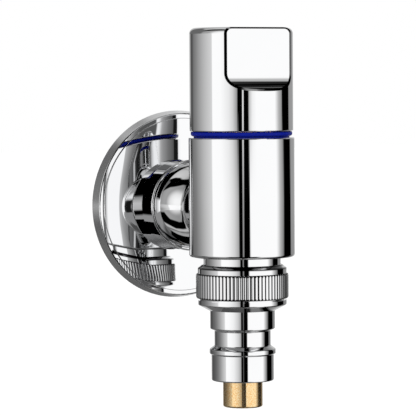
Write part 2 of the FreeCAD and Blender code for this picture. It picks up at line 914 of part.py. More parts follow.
def plunger_seal():
    inner_radius = plunger_radius + static_clearance
    return tube(plunger_head_radius, inner_radius, plunger_seal_bottom, plunger_head_bottom)


def check_housing():
    """Cartridge with a valve seat above, an O-ring groove and a guide for the stem below."""
    groove_top = check_top - check_groove_inset
    groove_bottom = groove_top - check_groove_height
    groove_radius = check_outer_radius - check_groove_depth
    shell = turned([
        (check_inner_radius, check_bottom),
        (check_outer_radius, check_bottom),
        (check_outer_radius, groove_bottom),
        (groove_radius, groove_bottom),
        (groove_radius, groove_top),
        (check_outer_radius, groove_top),
        (check_outer_radius, check_top, check_groove_inset / 2),
        (check_seat_radius, check_top),
        (check_seat_radius, check_seat),
        (check_inner_radius, check_seat),
    ])
    arm_length = check_inner_radius + check_wall / 2
    arm = block(arm_length, check_arm_width, check_bottom, check_arm_top, arm_length / 2)
    hub = cylinder(check_hub_radius, check_bottom, check_arm_top)
    guide = cylinder(poppet_stem_radius + running_clearance, check_bottom - 1, check_arm_top + 1)
    return shell.fuse(around(arm, check_arm_count) + [hub]).removeSplitter().cut(guide)


def check_o_ring():
    groove_centre = check_top - check_groove_inset - check_groove_height / 2
    return o_ring(check_outer_radius - check_groove_depth, outlet_bore_radius, groove_centre)


def check_poppet():
    return turned([
        (0, check_bottom),
        (poppet_stem_radius, check_bottom, poppet_stem_radius / 4),
        (poppet_stem_radius, poppet_bottom),
        (poppet_radius, poppet_bottom + poppet_thickness / 2),
        (poppet_radius, poppet_top),
        (poppet_radius - poppet_seal_width, poppet_top),
        (poppet_radius - poppet_seal_width, poppet_seal_top),
        (0, poppet_seal_top),
    ])


def poppet_seal():
    return tube(poppet_radius, poppet_radius - poppet_seal_width, poppet_top, poppet_seal_top)


def check_spring():
    return coil_spring(
        check_spring_radius,
        check_spring_wire,
        check_arm_top + seat_gap,
        poppet_bottom - seat_gap,
        check_spring_turns,
    )


pieces_on_inlet = {
    "body_casting": body_casting,
    "wall_rosette": wall_rosette,
    "wall_seal": wall_seal,
}

pieces_on_axis = {
    "headwork_body": headwork_body,
    "headwork_o_ring": headwork_o_ring,
    "seat_seal": seat_seal,
    "fixed_disc": fixed_disc,
    "indicator_ring": indicator_ring,
    "moving_disc": moving_disc,
    "spindle": spindle,
    "spindle_o_ring_1": lambda: spindle_o_ring(0),
    "spindle_o_ring_2": lambda: spindle_o_ring(1),
    "spindle_circlip": spindle_circlip,
    "handle": handle,
    "handle_screw": handle_screw,
    "spline_adapter": spline_adapter,
    "union_nut": union_nut,
    "nipple_gasket": nipple_gasket,
    "hose_nipple": hose_nipple,
    "spring_retainer": spring_retainer,
    "retainer_clip": retainer_clip,
    "plunger_spring": plunger_spring,
    "stop_plunger": stop_plunger,
    "plunger_seal": plunger_seal,
    "check_housing": check_housing,
    "check_o_ring": check_o_ring,
    "check_poppet": check_poppet,
    "poppet_seal": poppet_seal,
    "check_spring": check_spring,
}


def export(name, shape):
    """Writes one piece and prints its size for the maker."""
    shape.exportStep("parts/" + name + ".step")
    box = shape.BoundBox
    sizes = [round(value, 2) for value in (box.XLength, box.YLength, box.ZLength, box.ZMin, box.ZMax)]
    print(name, len(shape.Solids), shape.isValid(), round(shape.Volume, 1), sizes)


for name, make in pieces_on_inlet.items():
    export(name, make())

for name, make in pieces_on_axis.items():
    export(name, at_axis(make()))
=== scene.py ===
import json
import math

import bpy
import numpy as np
from bpy.props import FloatProperty, FloatVectorProperty, IntProperty, PointerProperty
from bpy.types import Operator, Panel, PropertyGroup
from mathutils import Matrix, Vector


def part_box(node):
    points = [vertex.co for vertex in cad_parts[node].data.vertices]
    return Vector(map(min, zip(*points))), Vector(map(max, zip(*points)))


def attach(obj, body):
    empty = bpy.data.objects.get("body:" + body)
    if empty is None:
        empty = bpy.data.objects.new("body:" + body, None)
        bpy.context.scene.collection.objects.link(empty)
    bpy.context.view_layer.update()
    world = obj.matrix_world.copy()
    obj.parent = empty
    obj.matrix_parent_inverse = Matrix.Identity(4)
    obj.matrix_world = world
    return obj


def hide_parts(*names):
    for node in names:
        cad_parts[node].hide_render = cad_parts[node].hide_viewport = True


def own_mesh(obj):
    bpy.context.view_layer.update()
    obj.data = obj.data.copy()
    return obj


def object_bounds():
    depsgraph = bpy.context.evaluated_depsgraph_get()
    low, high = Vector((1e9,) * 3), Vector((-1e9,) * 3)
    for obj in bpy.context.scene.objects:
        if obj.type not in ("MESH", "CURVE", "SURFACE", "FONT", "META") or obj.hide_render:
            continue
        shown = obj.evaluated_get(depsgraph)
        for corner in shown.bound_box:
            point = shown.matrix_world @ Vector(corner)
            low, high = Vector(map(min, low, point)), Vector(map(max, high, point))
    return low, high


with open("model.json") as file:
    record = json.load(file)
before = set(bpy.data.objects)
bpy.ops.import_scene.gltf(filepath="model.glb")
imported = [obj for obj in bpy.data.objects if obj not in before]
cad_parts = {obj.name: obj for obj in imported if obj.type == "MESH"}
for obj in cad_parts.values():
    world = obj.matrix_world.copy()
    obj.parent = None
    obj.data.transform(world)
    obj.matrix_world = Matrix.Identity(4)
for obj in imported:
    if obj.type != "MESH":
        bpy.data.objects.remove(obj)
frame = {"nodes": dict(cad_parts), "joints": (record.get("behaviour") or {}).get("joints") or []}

bl_info = {
    "name": "Washing machine valve",
    "version": (1, 0, 0),
    "blender": (4, 5, 0),
    "location": "3D View > Sidebar > Valve",
    "description": "Finishes, thread and studio for a chrome washing machine valve",
    "category": "Object",
}

cad_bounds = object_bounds()
parts = frame["nodes"]

# How far the barrel's upright axis stands off the wall
BARREL_DEPTH = 0.05
MICRON = 0.000001


# Settings


def length(name, description, default):
    """A setting in metres."""
    return FloatProperty(name=name, description=description, default=default, unit="LENGTH", precision=5)


def angle(name, description, degrees):
    """A setting that is written in degrees and kept in radians."""
    return FloatProperty(name=name, description=description, default=math.radians(degrees), subtype="ANGLE")


def share(name, description, default):
    """A setting without a unit, from 0 upwards."""
    return FloatProperty(name=name, description=description, default=default, min=0.0, subtype="FACTOR")


def colour(name, description, default):
    """A setting that holds a colour."""
    return FloatVectorProperty(
        name=name, description=description, default=default, size=3, min=0.0, max=1.0, subtype="COLOR"
    )


class ValveThread(PropertyGroup):
    """Sizes of the pipe thread on the inlet stub."""

    major_radius: length("Major radius", "Crest of the thread, as on the CAD stub", 0.01048)
    pitch: length("Pitch", "Rise of one turn", 0.001814)
    depth: length("Depth", "Height of the ridge between root and crest", 0.00116)
    start: length("Start", "Distance of the first turn from the wall face", 0.0009)
    end: length("End", "Distance of the last turn from the wall face", 0.0129)
    fade: FloatProperty(name="Fade", description="Turns over which the ridge rises at either end", default=0.45)
    steps: IntProperty(name="Steps", description="Faces around one turn", default=96, min=24)


class ValveFinish(PropertyGroup):
    """Colours and gloss of the pieces."""

    chrome: colour("Chrome", "Tint of the plating", (0.925, 0.928, 0.935))
    chrome_haze: share("Chrome haze", "Roughness of the polished plating", 0.012)
    # Painted shade: colour laid in the grooves between the union nut's ribs and in two lines on its shoulder
    rib_shade_colour: colour("Groove", "Dark film between the ribs of the union nut", (0.022, 0.022, 0.024))
    brass: colour("Brass", "Turned brass of the plunger", (1.0, 0.81, 0.48))
    brass_dark: colour("Brass in the grain", "Darker grain of the brass", (0.92, 0.50, 0.17))
    indicator: colour("Indicator", "Moulded ring that marks cold water", (0.004, 0.018, 0.42))
    rubber: colour("Rubber", "Seals and O-rings", (0.018, 0.018, 0.019))
    ceramic: colour("Ceramic", "Lapped alumina discs", (0.80, 0.78, 0.72))
    steel: colour("Steel", "Springs, clips and screw", (0.55, 0.55, 0.56))
    acetal: colour("Acetal", "White plastic of the check valve", (0.78, 0.78, 0.75))


class ValveStudio(PropertyGroup):
    """Camera, floor and light tent."""

    distance: length("Camera distance", "From the barrel's axis, level with the floor", 0.90)
    azimuth: angle("Camera azimuth", "Swing of the camera to the left of the wall's normal", 27.61)
    height: length("Camera height", "Above the inlet axis", 0.04447)
    yaw: angle("View yaw", "Heading of the view to the right of the wall's normal", 26.872)
    tilt: angle("View tilt", "Slope of the view below the horizon", 2.791)
    roll: angle("View roll", "Turn of the picture about the view", 0.34)
    lens: FloatProperty(name="Lens", description="Focal length on a 36 mm frame", default=227.8)
    floor_drop: length("Floor drop", "Of the floor below the lowest point of the valve", 0.09)
    floor_colour: colour("Floor colour", "Pale floor", (0.86, 0.86, 0.86))
    light: share("Light", "Level of the soft light on everything that isn't a mirror", 0.95)


# Shader expressions


# Sockets of a Mix node that is set to colours: factor, the two colours, and the result among its outputs
MIX_FACTOR, MIX_FIRST, MIX_SECOND = 0, 6, 7
MIX_RESULT = 2


class Value:
    """A number that varies over a surface. Plain arithmetic and comparisons on it add the Math nodes."""

    def __init__(self, finish, socket):
        self.finish = finish
        self.socket = socket

    def math(self, operation, *others):
        """A Math node with this value first."""
        return self.finish.maths(operation, self, *others)

    def __add__(self, other):
        return self.math("ADD", other)

    def __radd__(self, other):
        return self.finish.maths("ADD", other, self)

    def __sub__(self, other):
        return self.math("SUBTRACT", other)

    def __rsub__(self, other):
        return self.finish.maths("SUBTRACT", other, self)

    def __mul__(self, other):
        return self.math("MULTIPLY", other)

    def __rmul__(self, other):
        return self.finish.maths("MULTIPLY", other, self)

    def __truediv__(self, other):
        return self.math("DIVIDE", other)

    def __pow__(self, other):
        return self.math("POWER", other)

    def __lt__(self, other):
        return self.math("LESS_THAN", other)

    def __gt__(self, other):
        return self.math("GREATER_THAN", other)

    def at_least(self, level):
        """The greater of the two."""
        return self.math("MAXIMUM", level)

    def clamped(self):
        """Held between 0 and 1."""
        return self.at_least(0.0).math("MINIMUM", 1.0)


class Finish:
    """The node tree of a material or world being filled: makes its nodes and joins them."""

    def __init__(self, owner):
        owner.use_nodes = True
        self.tree = owner.node_tree
        self.tree.nodes.clear()

    def node(self, kind, settings=None, inputs=None, output=0):
        """Makes one node: its settings first, with ramp stops under "stops", then its sockets."""
        made = self.tree.nodes.new("ShaderNode" + kind)
        for key, value in (settings or {}).items():
            if key == "stops":
                self.fill_ramp(made.color_ramp, value)
            else:
                setattr(made, key, value)
        for key, value in (inputs or {}).items():
            if isinstance(value, Value):
                self.tree.links.new(value.socket, made.inputs[key])
            else:
                made.inputs[key].default_value = value
        return Value(self, made.outputs[output]) if made.outputs else None

    @staticmethod
    def fill_ramp(ramp, stops):
        """Sets a ramp to stops of place and grey level."""
        ramp.interpolation = "LINEAR"
        while len(ramp.elements) < len(stops):
            ramp.elements.new(1.0)
        for element, (place, grey) in zip(ramp.elements, stops):
            element.position = place
            element.color = (grey, grey, grey, 1.0)

    def maths(self, operation, *terms):
        """A Math node on values and plain numbers."""
        return self.node("Math", {"operation": operation}, dict(enumerate(terms)))

    def point(self, output="Object"):
        """Place on the piece in metres, or for the world's "Generated" the direction of the ray."""
        return self.node("TexCoord", output=output)

    def path(self, output):
        """What the Light Path node tells of the ray."""
        return self.node("LightPath", output=output)

    def parts_of(self, vector):
        """The x, y and z of a vector, as three numbers."""
        split = self.node("SeparateXYZ", None, {0: vector})
        outputs = split.socket.node.outputs
        return [Value(self, outputs[index]) for index in range(3)]

    def stretched(self, vector, scale):
        """A vector scaled along its axes. A pattern on it is drawn out along the axis with the least scale."""
        return self.node("Mapping", None, {"Vector": vector, "Scale": scale})

    def noise(self, vector, scale, detail=2.0, roughness=0.5):
        """Soft noise from 0 to 1, with its scale in features per metre."""
        sockets = {"Vector": vector, "Scale": scale, "Detail": detail, "Roughness": roughness}
        return self.node("TexNoise", None, sockets)

    def ramp(self, value, stops):
        """Grey level by a value from 0 to 1."""
        return self.node("ValToRGB", {"stops": stops}, {0: value})

    def mixed(self, factor, first, second):
        """Colour between two colours."""
        sockets = {MIX_FACTOR: factor, MIX_FIRST: opaque(first), MIX_SECOND: opaque(second)}
        return self.node("Mix", {"data_type": "RGBA"}, sockets, output=MIX_RESULT)

    def bumped(self, height, distance=1.0, strength=1.0):
        """Normal of a relief. The height is in metres, or else in shares of the distance."""
        return self.node("Bump", None, {"Height": height, "Distance": distance, "Strength": strength})


def opaque(shade):
    """A colour with full alpha. A linked one stays as it is."""
    return shade if isinstance(shade, Value) else (*shade, 1.0)


def shaded(base, shares):
    """A colour times one share, or times a share for each channel."""
    return tuple(np.multiply(base, shares).tolist())


def surface(name, settings, pattern, constants):
    """A material with one Principled shader: constants on its own sockets, and linked what the pattern varies."""
    material = bpy.data.materials.new(name)
    finish = Finish(material)
    shader = finish.node("BsdfPrincipled", None, {**constants, **pattern(finish, settings)})
    finish.node("OutputMaterial", None, {"Surface": shader})
    return material


# Patterns of the materials


# Spun sheet of the rosette: slope of its face across and up, radius from which it rolls off, and by how much for each
# square metre of the distance past it
FACE_SLOPE_ACROSS = 0.0175
FACE_SLOPE_UP = -0.031
ROLL_OFF_RADIUS = 0.0245
ROLL_OFF_RATE = 4.5
# Its satin rim: where it starts, over what width, and how much rougher it is
SATIN_RADIUS = 0.0322
SATIN_BLEND = 0.0004
SATIN_ROUGHNESS = 0.20

# Painted shade between the ribs of the union nut: radius of its edge and width of its blend, and the heights between
# which it lies, with the width of the blend at both
GROOVE_SHADE_RADIUS = 0.01572
GROOVE_SHADE_BLEND = 0.00012
RIB_BAND_LOW = -0.0304
RIB_BAND_HIGH = -0.0217
RIB_BAND_END = 0.0003
# Share of a rib's roundness that polishing took off its crest
WORN_CREST = 0.68
# Foot and height of the nut's top shoulder, and its painted shadow lines as shares from bottom to top
SHOULDER_LOW = -0.0206
SHOULDER_REACH = 0.0019
SHOULDER_SHADOW_LINES = [(0.18, 0.0), (0.30, 0.9), (0.46, 0.9), (0.56, 0.0), (0.74, 0.0), (0.84, 0.85), (1.0, 0.85)]


def plating(finish, settings):
    """Mirror plating with faint haze from wiping and a breath of orange peel, as its sockets and its height."""
    point = finish.point()
    cloud = finish.noise(point, scale=55.0, detail=3.0)
    wiping = finish.noise(finish.stretched(point, (1.0, 1.0, 0.25)), scale=900.0, detail=4.0)
    tint = tuple(settings.chrome)
    worn = shaded(tint, 0.975)
    sockets = {
        "Base Color": finish.mixed(cloud, worn, tint),
        "Roughness": settings.chrome_haze * (0.6 + 1.2 * wiping * cloud),
    }
    peel = 0.4 * MICRON * finish.noise(point, scale=550.0, detail=1.0)
    return sockets, peel


def polished(finish, settings):
    """Plating as the polisher left it."""
    sockets, height = plating(finish, settings)
    return {**sockets, "Normal": finish.bumped(height)}


def spun(finish, settings):
    """Plated spun sheet. Its face is a little out of true and rolls off towards the rim, and its bevel is satin."""
    sockets, height = plating(finish, settings)
    x, _, z = finish.parts_of(finish.point())
    radius = (x * x + z * z) ** 0.5
    past = (radius - ROLL_OFF_RADIUS).at_least(0.0)
    satin = ((radius - SATIN_RADIUS) / SATIN_BLEND).clamped()
    sockets["Roughness"] = sockets["Roughness"] + SATIN_ROUGHNESS * satin
    height = height + FACE_SLOPE_ACROSS * x + FACE_SLOPE_UP * z - ROLL_OFF_RATE * past * past
    return {**sockets, "Normal": finish.bumped(height)}


def ribbed(finish, settings):
    """Plated ribs with polished crests, with painted shade in the grooves between them and painted shadow lines on the
    shoulder.
    """
    sockets, height = plating(finish, settings)
    x, y, z = finish.parts_of(finish.point())
    outward = y + BARREL_DEPTH
    radius = (x * x + outward * outward) ** 0.5
    among = ((z - RIB_BAND_LOW) / RIB_BAND_END).clamped() * ((RIB_BAND_HIGH - z) / RIB_BAND_END).clamped()
    # Painted shade: the base colour turns dark in the grooves between the ribs, where shade falls
    painted_shade = among * ((GROOVE_SHADE_RADIUS - radius) / GROOVE_SHADE_BLEND).clamped()
    # Painted shadow: two dark lines across the nut's top shoulder
    shoulder_shadows = finish.ramp((z - SHOULDER_LOW) / SHOULDER_REACH, SHOULDER_SHADOW_LINES)
    painted_shade = painted_shade.at_least(shoulder_shadows * (z < SHOULDER_LOW + SHOULDER_REACH))
    sockets["Base Color"] = finish.mixed(painted_shade, sockets["Base Color"], tuple(settings.rib_shade_colour))
    return {**sockets, "Normal": finish.bumped(height - WORN_CREST * among * radius)}


def turned_brass(finish, settings):
    """Turned brass left unplated: sandy grain over faint tool rings."""
    point = finish.point()
    sand = finish.noise(point, scale=2100.0, detail=3.0, roughness=0.62)
    cloud = finish.noise(point, scale=420.0, detail=2.0)
    rings = finish.noise(finish.stretched(point, (0.02, 0.02, 1.0)), scale=5200.0, detail=1.0)
    grain = finish.ramp(0.90 * sand + 0.10 * cloud, [(0.34, 0.0), (0.60, 1.0)])
    return {
        "Base Color": finish.mixed(grain, tuple(settings.brass_dark), tuple(settings.brass)),
        "Roughness": 0.07 - 0.02 * cloud + 0.05 * sand,
        "Normal": finish.bumped(0.8 * sand + 0.2 * rings, distance=10 * MICRON, strength=0.6),
    }


def moulded_plastic(finish, settings):
    """Glossy moulded plastic with a slight flow texture."""
    point = finish.point()
    cloud = finish.noise(point, scale=260.0, detail=3.0)
    fine = finish.noise(point, scale=4200.0, detail=2.0)
    base = tuple(settings.indicator)
    deep = shaded(base, 0.72)
    return {
        "Base Color": finish.mixed(cloud, deep, base),
        "Roughness": 0.32 + 0.08 * cloud,
        "Normal": finish.bumped(fine, distance=4 * MICRON, strength=0.5),
    }


def matt_rubber(finish, settings):
    """Matt rubber with a bloom of paler specks."""
    point = finish.point()
    specks = finish.noise(point, scale=5200.0, detail=3.0)
    bloom = finish.noise(point, scale=600.0, detail=3.0)
    base = tuple(settings.rubber)
    pale = shaded(base, 3.2)
    return {
        "Base Color": finish.mixed((bloom * specks).clamped(), base, pale),
        "Roughness": 0.62 + 0.2 * specks,
        "Normal": finish.bumped(specks, distance=20 * MICRON, strength=0.6),
    }


def lapped_ceramic(finish, settings):
    """Lapped alumina: smooth, ivory white, with a fine powdery grain."""
    point = finish.point()
    powder = finish.noise(point, scale=6800.0, detail=2.0)
    cloud = finish.noise(point, scale=320.0, detail=2.0)
    base = tuple(settings.ceramic)
    warm = shaded(base, (0.93, 0.90, 0.84))
    return {
        "Base Color": finish.mixed(0.6 * cloud + 0.4 * powder, warm, base),
        "Roughness": 0.12 + 0.10 * powder,
        "Normal": finish.bumped(powder, distance=3 * MICRON, strength=0.4),
    }


def drawn_steel(finish, settings):
    """Drawn stainless wire and pressed sheet, with fine draw lines."""
    point = finish.point()
    lines = finish.noise(finish.stretched(point, (1.0, 1.0, 0.08)), scale=5200.0, detail=3.0)
    cloud = finish.noise(point, scale=380.0, detail=2.0)
    base = tuple(settings.steel)
    dull = shaded(base, 0.78)
    return {
        "Base Color": finish.mixed(0.5 * lines + 0.5 * cloud, dull, base),
        "Roughness": 0.20 + 0.16 * lines,
        "Normal": finish.bumped(lines, distance=8 * MICRON, strength=0.5),
    }


def waxy_acetal(finish, settings):
    """White engineering plastic, a little waxy."""
    point = finish.point()
    flow = finish.noise(point, scale=240.0, detail=3.0)
    fine = finish.noise(point, scale=5200.0, detail=2.0)
    base = tuple(settings.acetal)
    shade = shaded(base, 0.9)
    return {
        "Base Color": finish.mixed(flow, shade, base),
        "Roughness": 0.34 + 0.12 * fine,
        "Normal": finish.bumped(fine, distance=6 * MICRON, strength=0.5),
    }


# Each material's pattern, and what is the same all over it
MATERIALS = {
    "chrome_plate": (polished, {"Metallic": 1.0}),
    "spun_chrome": (spun, {"Metallic": 1.0}),
    "ribbed_chrome": (ribbed, {"Metallic": 1.0}),
    "turned_brass": (turned_brass, {"Metallic": 0.92}),
    "blue_plastic": (moulded_plastic, {"Metallic": 0.0, "IOR": 1.46, "Specular IOR Level": 0.12}),
    "seal_rubber": (matt_rubber, {"Metallic": 0.0}),
    "alumina": (lapped_ceramic, {"Metallic": 0.0, "IOR": 1.7}),
    "stainless_steel": (drawn_steel, {"Metallic": 1.0}),
    "white_acetal": (waxy_acetal, {"Metallic": 0.0, "IOR": 1.48}),
}


def dress(material_name, node_names):
    """Makes a material and gives it to CAD nodes through their slots."""
    material = surface(material_name, bpy.context.scene.valve_finish, *MATERIALS[material_name])
    for name in node_names:
        slots = parts[name].material_slots
        if not slots:
            raise RuntimeError(name + " has no material slot")
        for slot in slots:
            slot.material = material


def made_material(name):
    """A material that an earlier step made."""
    material = bpy.data.materials.get(name)
    if material is None:
        raise RuntimeError(name + " has to be made first")
    return material


# Surfaces


# Decimals of a metre to which the corners of CAD triangles in one place agree
MERGED_DECIMALS = 7
# Least length that a vector is divided by
NEVER_ZERO = 1e-20


def read_rows(items, key, width, kind=np.float32):
    """One value of every item of a mesh, as one row each."""
    values = np.empty(width * len(items), dtype=kind)
    items.foreach_get(key, values)
    return values.reshape(-1, width)


def node_surface(name):
    """Points, triangles and corner normals of a CAD node, with the points in one place merged."""
    mesh = parts[name].data
    points = read_rows(mesh.vertices, "co", 3).astype(float)
    corners = read_rows(mesh.loops, "vertex_index", 1, np.int32)
    normals = read_rows(mesh.corner_normals, "vector", 3).astype(float)
    points, place = np.unique(points.round(MERGED_DECIMALS), axis=0, return_inverse=True)
    triangles = place.ravel()[corners].reshape(-1, 3)
    whole = (triangles != np.roll(triangles, 1, axis=1)).all(axis=1)
    return points, triangles[whole], normals.reshape(-1, 3, 3)[whole]


def new_piece(name, points, triangles, normals):
    """An object with that surface and those corner normals, in the scene's own collection."""
    mesh = bpy.data.meshes.new(name)
    mesh.from_pydata(points.tolist(), [], triangles.tolist())
    mesh.shade_smooth()
    mesh.normals_split_custom_set(normals.reshape(-1, 3).tolist())
    piece = bpy.data.objects.new(name, mesh)
    bpy.context.scene.collection.objects.link(piece)
    return piece


def unit_rows(vectors):
    """Vectors divided by their lengths."""
    return vectors / np.maximum(np.linalg.norm(vectors, axis=-1, keepdims=True), NEVER_ZERO)


def face_vectors(points, triangles):
    """Cross product of two sides of each triangle: outwards, and as long as twice its area."""
    first, second, third = (points[triangles[:, index]] for index in range(3))
    return np.cross(second - first, third - first)


def smooth_normals(points, triangles):
    """At each corner, the unit vector along the sum of the face vectors around its point."""
    total = np.zeros_like(points)
    for index in range(3):
        np.add.at(total, triangles[:, index], face_vectors(points, triangles))
    return unit_rows(total)[triangles]


def closed_band(rows, columns):
    """Triangles over a grid whose rows are closed loops, with a fan over the first row and over the last."""
    place = np.arange(rows * columns).reshape(rows, columns)
    beside = np.roll(place, -1, axis=1)
    near, far, far_side, near_side = place[:-1], place[1:], beside[1:], beside[:-1]
    bands = [np.stack([near, far, far_side], 2), np.stack([near, far_side, near_side], 2)]
    fan = np.stack([np.zeros(columns - 2, int), np.arange(1, columns - 1), np.arange(2, columns)], 1)
    caps = [fan, (rows - 1) * columns + fan[:, ::-1]]
    return np.concatenate([band.reshape(-1, 3) for band in bands] + caps)


# Inlet thread


# Ridge of a pipe thread: place across one pitch, then height as a share of the depth
RIDGE = [
    (-0.5, 0.0), (-0.41, 0.03), (-0.13, 0.89), (-0.07, 0.98), (0.0, 1.0), (0.07, 0.98), (0.13, 0.89), (0.41, 0.03),
    (0.5, 0.0),
]
# Depth of the ridge's foot and of its underside below the root of the thread
RIDGE_FOOT = 0.00002
RIDGE_UNDERSIDE = 0.0003
# Outside of the stub: farther from its axis than this, and beyond the wall face, which itself counts as beyond
STUB_OUTSIDE = 0.0085
WALL_FACE = -MICRON


def draw_in(points, triangles, normals, depth):
    """Draws the stub in to the root of its thread.

    Each outer point beyond the wall face keeps its direction from the axis and comes nearer to it by the depth. The
    triangles there get the normals of a turned surface: the triangle's own share along the axis, and the rest away
    from the axis at each corner.
    """
    reach = np.hypot(points[:, 0], points[:, 2])
    outer = (points[:, 1] > WALL_FACE) & (reach > STUB_OUTSIDE)
    scale = np.where(outer, (reach - depth) / np.maximum(reach, NEVER_ZERO), 1.0)
    points = points * np.stack([scale, np.ones_like(scale), scale], 1)
    turned = outer[triangles].any(axis=1)
    along = unit_rows(face_vectors(points, triangles[turned]))[:, 1]
    away = unit_rows(points[triangles[turned]] * (1.0, 0.0, 1.0))
    away = away * np.sqrt(1.0 - np.minimum(along ** 2, 1.0))[:, None, None]
    away[:, :, 1] = along[:, None]
    normals = normals.copy()
    normals[turned] = away
    return points, normals


def ridge_grid(thread):
    """Points of the thread's ridge, one row for each step along it.

    A point of the profile lies at its place across one pitch and at the root's radius plus its share of the depth.
    The profile is carried along a right-handed helix: x = r sin t, z = r cos t, y = start + pitch (t / 2 pi + place).
    Its height rises from nothing at the first end, within the turns that the fade gives, and falls likewise at the
    last. Two more points close the profile under the root.
    """
    turns = (thread.end - thread.start) / thread.pitch
    sweep = np.linspace(0.0, turns, int(turns * thread.steps) + 1)[:, None]
    across, height = np.array(RIDGE).T
    across = np.append(across, [across[-1], across[0]])
    fade = np.clip(np.minimum(sweep, turns - sweep) / thread.fade, 0.0, 1.0)
    root = thread.major_radius - thread.depth
    ridge = root - RIDGE_FOOT + height * fade * (thread.depth + RIDGE_FOOT)
    under = np.full((len(sweep), 2), root - RIDGE_UNDERSIDE)
    radius = np.concatenate([ridge, under], 1)
    turn = 2.0 * math.pi * sweep
    along = thread.start + thread.pitch * (sweep + across)
    return np.stack([radius * np.sin(turn), along, radius * np.cos(turn)], 2)


def threaded_body(thread):
    """The body casting with its inlet stub drawn in to the root of the thread, and the ridge on it."""
    points, triangles, normals = node_surface("body_casting")
    points, normals = draw_in(points, triangles, normals, thread.depth)
    grid = ridge_grid(thread)
    rows, columns, _ = grid.shape
    ridge_points, ridge_triangles = grid.reshape(-1, 3), closed_band(rows, columns)
    ridge_normals = smooth_normals(ridge_points, ridge_triangles)
    triangles = np.concatenate([triangles, ridge_triangles + len(points)])
    points = np.concatenate([points, ridge_points])
    return new_piece("threaded_body", points, triangles, np.concatenate([normals, ridge_normals]))


# Springs


# Node and its new piece, the body it rides on, the joint that presses it, and the height of the end that stays
SPRINGS = [
    ("plunger_spring", "pressed_plunger_spring", "nipple", "plunger_press", -0.03245),
    ("check_spring", "pressed_check_spring", "valve_body", "check_lift", -0.02550),
]


def pressed_spring(node, name, body, joint, held_height, steel):
    """A copy of the spring on the body that it rides on, in place of the node. The share of its length that the travel
    of its joint leaves is worked out, but the copy isn't shortened.
    """
    low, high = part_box(node)
    free_length = max(abs(low[2] - held_height), abs(high[2] - held_height))
    travel = next(max(entry["range_m"]) for entry in frame["joints"] if entry["name"] == joint)
    spring = new_piece(name, *node_surface(node))
    spring.data.materials.append(steel)
    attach(spring, body)
    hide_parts(node)
    1.0 - travel / free_length
    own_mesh(spring)


# Light tent. Its directions are degrees around from the camera's, below 0 on the left of the picture and above 0 on
# its right, and degrees above the horizon. Each list below gives a brightness, a share or an edge by one of the two.


# Walls around the valve at the height of the nipple, the barrel and the handle: degrees above the horizon, then
# brightness on the left and on the right
WALLS = [
    (-6.0, [
        (-180, 0.75), (-162, 0.55), (-152, 0.10), (-138, 0.08), (-117, 0.13), (-103, 0.20), (-90, 0.33), (-66, 0.70),
        (-63, 1.07), (-50, 1.05), (-33, 0.945), (-16.5, 0.67), (-5.6, 0.38), (-4.6, 0), (0, 0),
    ], [
        (0, 0), (18, 0), (20.5, 1.05), (80, 1.06), (90, 0.54), (100, 0.20), (103, 0), (134, 0), (138, 0.20),
        (159, 0.25), (167, 0.60), (180, 0.75),
    ]),
    (-2.6, [
        (-180, 0.75), (-160, 0.55), (-152, 0.20), (-150, 0.01), (-136, 0.01), (-132.5, 0.17), (-117, 0.22),
        (-102, 0.36), (-89, 0.51), (-67.8, 0.73), (-65.6, 1.07), (-42, 1.06), (-26.7, 0.92), (-15.8, 0.71),
        (-6.7, 0.41), (-5.7, 0), (0, 0),
    ], [
        (0, 0), (16.9, 0), (18, 1.05), (82, 1.06), (87, 0.83), (93, 0.49), (103.5, 0.25), (105.5, 0), (132.5, 0),
        (134.5, 0.33), (156, 0.33), (167, 0.60), (180, 0.75),
    ]),
    (-0.7, [
        (-180, 0.75), (-160, 0.55), (-150, 0.10), (-140, 0.08), (-134, 0.17), (-119, 0.26), (-103, 0.40), (-90, 0.52),
        (-69.3, 0.70), (-66.8, 1.07), (-47, 1.06), (-28.6, 0.89), (-19.6, 0.70), (-9.6, 0.30), (-8.8, 0), (0, 0),
    ], [
        (0, 0), (15, 0), (17, 0.55), (24.5, 0.95), (33.5, 1.06), (80, 1.06), (84.7, 0.81), (90.8, 0.51), (101, 0.28),
        (102.5, 0), (129, 0), (131.5, 0.30), (142, 0.34), (158, 0.35), (167, 0.60), (180, 0.75),
    ]),
]
# Share of those walls by height
LEVEL_BAND = [(-10, 0), (-8.5, 1), (1.2, 1), (3, 0)]
# Narrow lit gap beside the camera, across and by height
GAP_ACROSS = [(1.2, 0), (2, 1), (4.4, 1), (5.2, 0)]
GAP_HEIGHT = [(-12, 0.04), (-5.7, 0.09), (-2.6, 0.33), (-0.7, 0.80), (2, 0.60), (8, 0.35), (11, 0.05), (13, 0)]
# The same gap in later mirror images
LATER_GAP_ACROSS = [(2, 0), (3, 1), (6, 1), (7.2, 0)]
LATER_GAP_HEIGHT = [(-5, 0), (-3, 0.50), (3, 0.58), (8, 0.33), (11, 0.10), (13, 0)]
# Left panel: its middle, around and above, and its brightness by degrees from there
LEFT_PANEL_MIDDLE = (-45.0, 10.0)
LEFT_PANEL = [
    (0, 1), (6, 0.99), (12, 0.92), (18, 0.84), (22, 0.72), (27, 0.52), (31, 0.38), (36, 0.28), (42, 0.20), (60, 0.14),
]
# Grey cloth beside the panel
GREY_CLOTH = [
    (-180, 0.10), (-140, 0.10), (-117, 0.125), (-104, 0.13), (-100, 0.18), (-96, 0.33), (-84, 0.38), (-70, 0.36),
    (0, 0.20),
]
